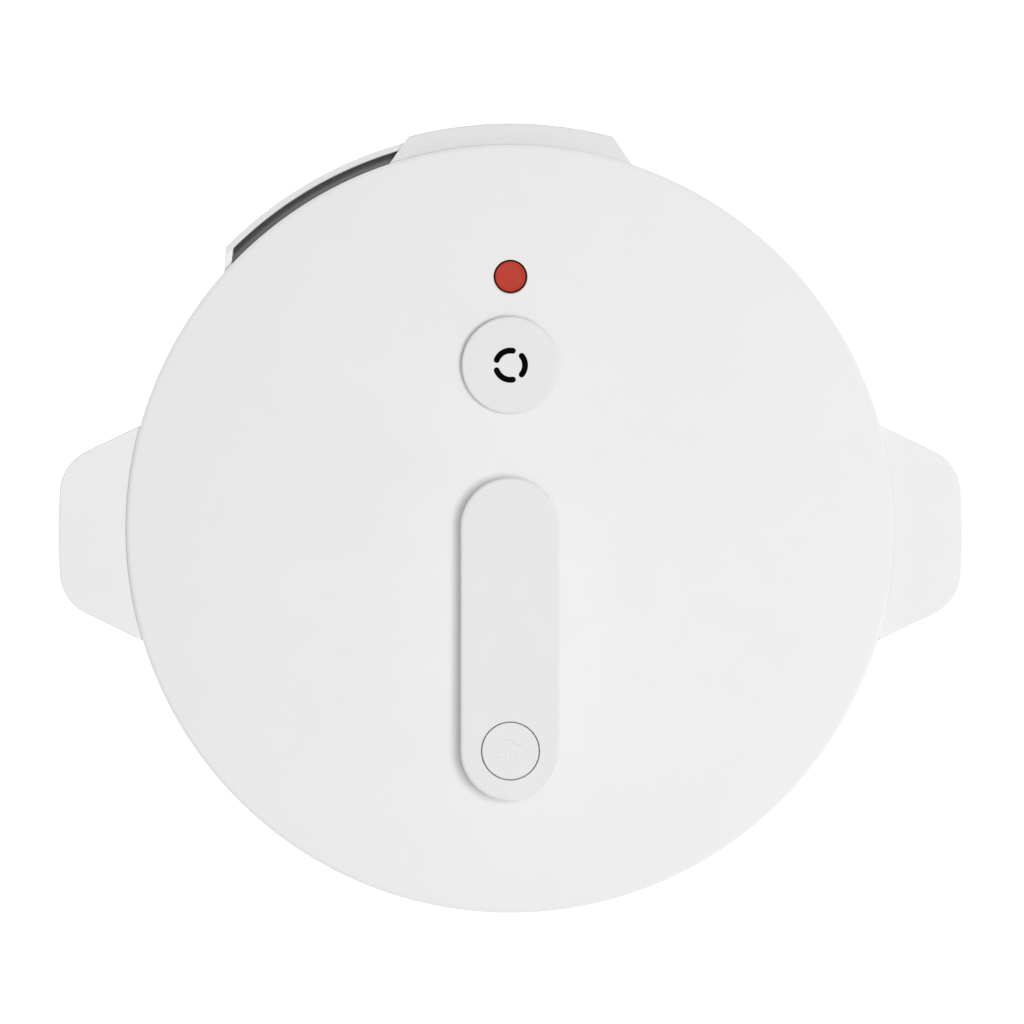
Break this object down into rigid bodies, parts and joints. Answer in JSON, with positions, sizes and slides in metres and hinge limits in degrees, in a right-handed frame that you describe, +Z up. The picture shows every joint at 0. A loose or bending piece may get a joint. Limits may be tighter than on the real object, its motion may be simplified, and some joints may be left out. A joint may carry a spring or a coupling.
{
  "type": "electric pressure cooker",
  "caption": "Round white electric pressure cooker with a twist-lock lid, pill-shaped lid handle with release button, steam valve knob, red float pin and two side handles.",
  "frame": {"origin": "Centre of the bounding box's base, on the surface the feet stand on. The lid's turning axis is 4.55 mm in front of it, at y = -0.00455, because the rear guide tab reaches past the lid's circle.", "axes": "+Z up along the lid's turning axis, +X to the cooker's right towards its right side handle, +Y to its rear, so -Y faces its control panel."},
  "size_m": [0.3834, 0.335, 0.302],
  "materials": {
    "white_plastic": "fine satin moulding texture",
    "dark_plastic": "matte moulding texture",
    "red_plastic": "satin",
    "steel": "brushed",
    "aluminium": "as cast and spun",
    "pot_coating": "fine speckled non-stick coating",
    "silicone": "satin translucent white",
    "rubber": "matte",
    "panel_gloss": "high gloss, back-printed",
    "circuit_board": "solder mask",
    "brass": "bright",
    "lead_sleeve": "woven sleeve"
  },
  "bodies": {
    "base": {"body_collar": "white_plastic", "body_shell": "white_plastic", "bottom_cover": "dark_plastic", "bottom_screw_front": "steel", "bottom_screw_left": "steel", "bottom_screw_rear": "steel", "bottom_screw_right": "steel", "control_board": "circuit_board", "control_fascia": "panel_gloss", "display_module": "dark_plastic", "foot_front_left": "rubber", "foot_front_right": "rubber", "foot_rear_left": "rubber", "foot_rear_right": "rubber", "heater_lead": "lead_sleeve", "heating_plate": "aluminium", "inlet_pin_earth": "brass", "inlet_pin_live": "brass", "inlet_pin_neutral": "brass", "inner_housing": "aluminium", "inner_pot": "pot_coating", "locking_ring": "steel", "mains_lead": "lead_sleeve", "panel_lead": "lead_sleeve", "plate_post_1": "steel", "plate_post_2": "steel", "plate_post_3": "steel", "power_board": "circuit_board", "power_inlet": "dark_plastic", "rim_tray": "dark_plastic", "sensor_holder": "dark_plastic", "sensor_spring": "steel", "side_handle_left": "white_plastic", "side_handle_right": "white_plastic", "thermal_fuse": "aluminium", "transformer": "dark_plastic"},
    "lid": {"lid_cover": "white_plastic", "lid_underring": "white_plastic", "rear_guide_tab": "white_plastic", "inner_lid": "steel", "sealing_ring": "silicone", "ring_rack": "steel", "handle_grip": "white_plastic", "handle_core": "dark_plastic", "handle_screw_left": "steel", "handle_screw_right": "steel", "button_spring": "steel", "lever_bracket": "steel", "lever_pin": "steel", "steam_pipe": "steel", "pipe_nut": "steel", "anti_block_shield": "steel", "float_guide": "dark_plastic"},
    "button": {"release_button": "white_plastic"},
    "lever": {"release_lever": "steel"},
    "weight": {"pressure_weight": "dark_plastic"},
    "valve_cap": {"valve_cap": "white_plastic"},
    "float": {"float_pin": "red_plastic", "float_seal": "silicone"},
    "sensor": {"sensor_cap": "aluminium"}
  },
  "joints": [
    {"name": "lid_turn", "type": "hinge", "parent": "base", "child": "lid", "pos_m": [0, -0.00455, 0.24], "axis": [0, 0, 1], "range_deg": [0, 28]},
    {"name": "button_press", "type": "slide", "parent": "lid", "child": "button", "axis": [0, 0, -1], "range_m": [0, 0.0035], "stiffness_N_per_m": 800, "springref_m": -0.002, "deforming": ["button_spring"]},
    {"name": "lever_tilt", "type": "hinge", "parent": "lid", "child": "lever", "pos_m": [0, -0.01685, 0.258], "axis": [1, 0, 0], "range_deg": [-0.1, 2.6]},
    {"name": "valve_lift", "type": "slide", "parent": "lid", "child": "weight", "axis": [0, 0, 1], "range_m": [-0.0001, 0.0037]},
    {"name": "cap_pull", "type": "slide", "parent": "weight", "child": "valve_cap", "axis": [0, 0, 1], "range_m": [0, 0.016]},
    {"name": "float_rise", "type": "slide", "parent": "lid", "child": "float", "axis": [0, 0, 1], "range_m": [0, 0.005]},
    {"name": "sensor_press", "type": "slide", "parent": "base", "child": "sensor", "axis": [0, 0, -1], "range_m": [0, 0.0015], "stiffness_N_per_m": 600, "springref_m": -0.002, "deforming": ["sensor_spring"]}
  ],
  "couplings": [
    {"joint": "lever_tilt", "follows": "button_press", "rad_per_m": 12.255},
    {"joint": "valve_lift", "follows": "button_press", "ratio": 1}
  ]
}
